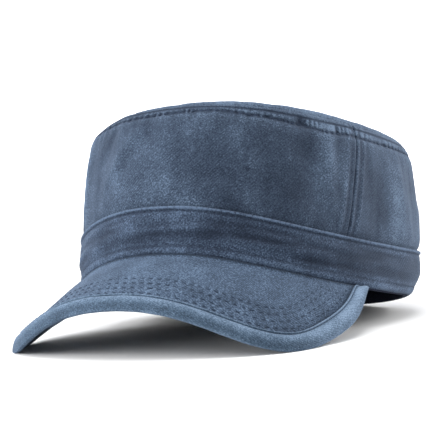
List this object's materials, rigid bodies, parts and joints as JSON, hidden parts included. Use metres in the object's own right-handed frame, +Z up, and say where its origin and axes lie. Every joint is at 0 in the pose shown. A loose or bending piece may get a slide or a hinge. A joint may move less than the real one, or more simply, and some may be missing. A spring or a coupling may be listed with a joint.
{
  "type": "kepi cap",
  "caption": "Flat-topped washed cotton kepi cap with a straight crown wall, a folded band and a long curved visor with a bound edge.",
  "frame": {"origin": "on the resting surface, under the centre of the cap's bounding box", "axes": "+Z up, -Y towards the front of the visor, +X towards the wearer's left"},
  "size_m": [0.1846, 0.257, 0.125],
  "materials": {
    "crown_cloth": "garment-washed blue-grey cotton twill, matt, slightly napped and mottled",
    "band_cloth": "garment-washed blue-grey cotton twill, folded and topstitched",
    "sweatband_cloth": "plain dark violet-grey cotton",
    "visor_cloth": "lighter washed blue-grey cotton twill, stitched in rows",
    "binding_cloth": "washed blue-grey cotton twill, folded over the visor's edge"
  },
  "bodies": {
    "root": {"crown_top": "crown_cloth", "crown_front": "crown_cloth", "crown_back": "crown_cloth", "band_front": "band_cloth", "band_back": "band_cloth", "sweatband": "sweatband_cloth", "visor": "visor_cloth", "visor_binding": "binding_cloth"}
  },
  "joints": []
}
